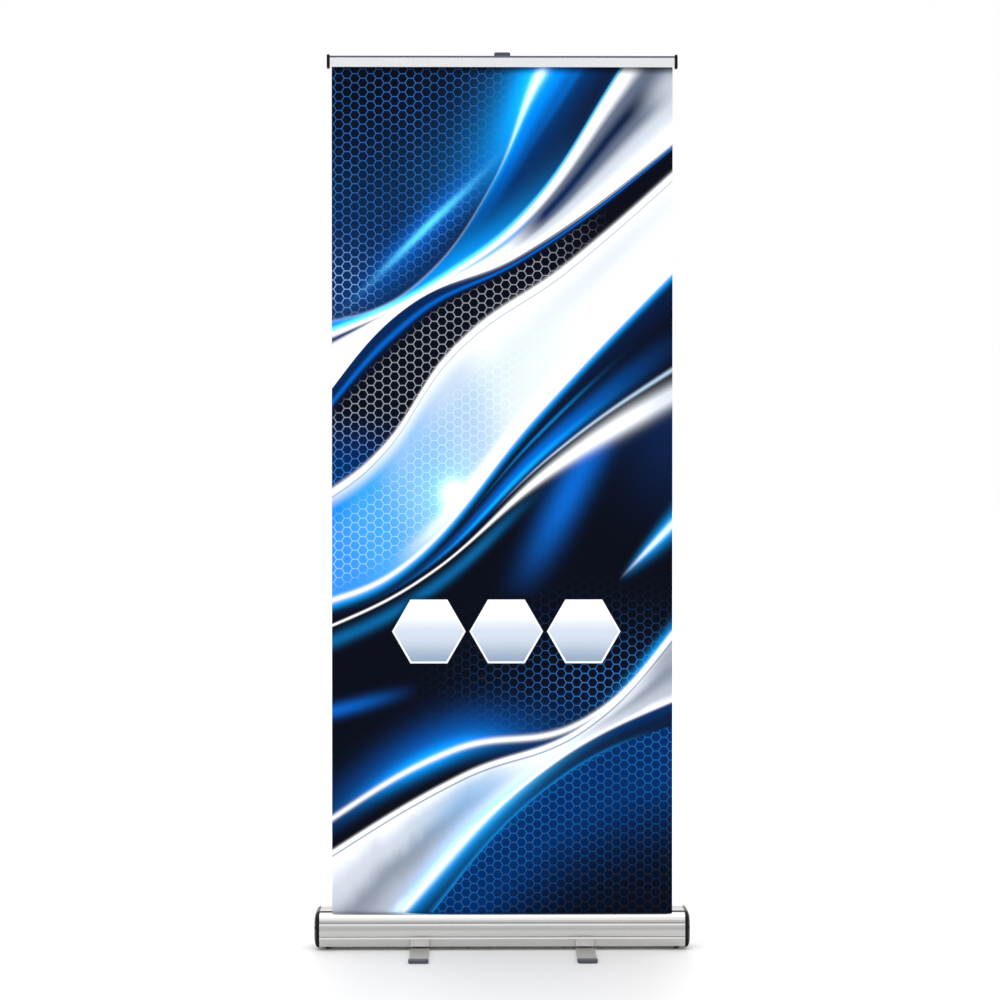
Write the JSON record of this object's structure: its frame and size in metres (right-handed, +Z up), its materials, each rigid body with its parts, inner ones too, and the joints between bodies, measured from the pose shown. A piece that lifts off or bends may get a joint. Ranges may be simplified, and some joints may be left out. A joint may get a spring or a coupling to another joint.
{
  "type": "roll-up banner stand",
  "caption": "Roll-up banner stand: a sprung roller in an aluminium cassette, a tall printed banner clamped in a top rail, a telescopic pole behind it and swivel feet below.",
  "frame": {"origin": "on the floor, at the centre of the stand's footprint", "axes": "+Z up along the raised banner, -Y towards the viewer of the banner, X along the cassette"},
  "size_m": [0.8858, 0.38, 2.108],
  "materials": {
    "anodised_aluminium": "satin anodised, fine drawn grain along the bar",
    "gloss_black_plastic": "glossy moulded, with light scratches",
    "slate_plastic": "dark slate moulded plastic, fine texture",
    "black_rubber": "matt moulded rubber",
    "zinc_steel": "zinc plated, turned",
    "white_nylon": "natural nylon, slightly waxy",
    "brass": "turned brass",
    "banner_film": "grey back of the banner film",
    "printed_film": "satin printed banner film, abstract blue waves"
  },
  "bodies": {
    "base": {"cassette_shell": "anodised_aluminium", "left_end_cap": "gloss_black_plastic", "right_end_cap": "gloss_black_plastic", "left_end_cap_screw_upper": "zinc_steel", "left_end_cap_screw_front": "zinc_steel", "left_end_cap_screw_rear": "zinc_steel", "right_end_cap_screw_upper": "zinc_steel", "right_end_cap_screw_front": "zinc_steel", "right_end_cap_screw_rear": "zinc_steel", "bumper_pad_left_front": "black_rubber", "bumper_pad_left_rear": "black_rubber", "bumper_pad_right_front": "black_rubber", "bumper_pad_right_rear": "black_rubber", "spring_spindle": "zinc_steel", "torsion_spring": "zinc_steel", "idler_axle": "zinc_steel", "banner_sheet": "printed_film", "pole_socket": "slate_plastic", "pole_base_plug": "slate_plastic", "pole_lower_tube": "anodised_aluminium", "lower_collet": "white_nylon", "left_foot_pivot_screw": "zinc_steel", "left_foot_pivot_washer": "white_nylon", "left_foot_pivot_nut": "zinc_steel", "right_foot_pivot_screw": "zinc_steel", "right_foot_pivot_washer": "white_nylon", "right_foot_pivot_nut": "zinc_steel"},
    "left_foot": {"left_foot_bar": "anodised_aluminium", "left_foot_cap_front": "slate_plastic", "left_foot_cap_rear": "slate_plastic"},
    "right_foot": {"right_foot_bar": "anodised_aluminium", "right_foot_cap_front": "slate_plastic", "right_foot_cap_rear": "slate_plastic"},
    "roller": {"roller_tube": "anodised_aluminium", "banner_roll": "banner_film", "spring_side_plug": "white_nylon", "idler_plug": "white_nylon", "idler_bush": "brass", "spring_anchor": "white_nylon"},
    "lower_collar": {"lower_twist_collar": "slate_plastic"},
    "pole_middle": {"pole_middle_tube": "anodised_aluminium", "pole_middle_plug": "white_nylon", "upper_collet": "white_nylon"},
    "upper_collar": {"upper_twist_collar": "slate_plastic"},
    "pole_upper": {"pole_upper_tube": "anodised_aluminium", "pole_upper_plug": "white_nylon", "pole_hook": "slate_plastic", "hook_pin": "zinc_steel"},
    "rail": {"top_rail": "anodised_aluminium", "rail_cap_left": "gloss_black_plastic", "rail_cap_right": "gloss_black_plastic"},
    "jaw": {"rail_jaw": "anodised_aluminium"}
  },
  "joints": [
    {"name": "rail_travel", "type": "slide", "parent": "base", "child": "rail", "axis": [0, 0, 1], "range_m": [-1.196, 0], "deforming": ["banner_sheet"]},
    {"name": "pole_middle_slide", "type": "slide", "parent": "base", "child": "pole_middle", "axis": [0, 0, 1], "range_m": [-0.598, 0]},
    {"name": "pole_upper_slide", "type": "slide", "parent": "pole_middle", "child": "pole_upper", "axis": [0, 0, 1], "range_m": [-0.598, 0]},
    {"name": "roller_turn", "type": "hinge", "parent": "base", "child": "roller", "pos_m": [0, -0.0015, 0.044], "axis": [1, 0, 0], "range_deg": [0, 3737]},
    {"name": "jaw_hinge", "type": "hinge", "parent": "rail", "child": "jaw", "pos_m": [0, -0.024, 2.0944], "axis": [-1, 0, 0], "range_deg": [0, 50]},
    {"name": "lower_collar_twist", "type": "hinge", "parent": "base", "child": "lower_collar", "pos_m": [0, 0.0315, 0.79407], "axis": [0, 0, 1], "range_deg": [0, 90]},
    {"name": "upper_collar_twist", "type": "hinge", "parent": "pole_middle", "child": "upper_collar", "pos_m": [0, 0.0315, 1.425], "axis": [0, 0, 1], "range_deg": [0, 90]},
    {"name": "left_foot_swivel", "type": "hinge", "parent": "base", "child": "left_foot", "pos_m": [-0.194, 0, 0.004], "axis": [0, 0, 1], "range_deg": [0, 90]},
    {"name": "right_foot_swivel", "type": "hinge", "parent": "base", "child": "right_foot", "pos_m": [0.194, 0, 0.004], "axis": [0, 0, -1], "range_deg": [0, 90]}
  ],
  "couplings": [
    {"joint": "pole_middle_slide", "follows": "rail_travel", "ratio": 0.5},
    {"joint": "pole_upper_slide", "follows": "rail_travel", "ratio": 0.5},
    {"joint": "roller_turn", "follows": "rail_travel", "rad_per_m": -54.496}
  ]
}
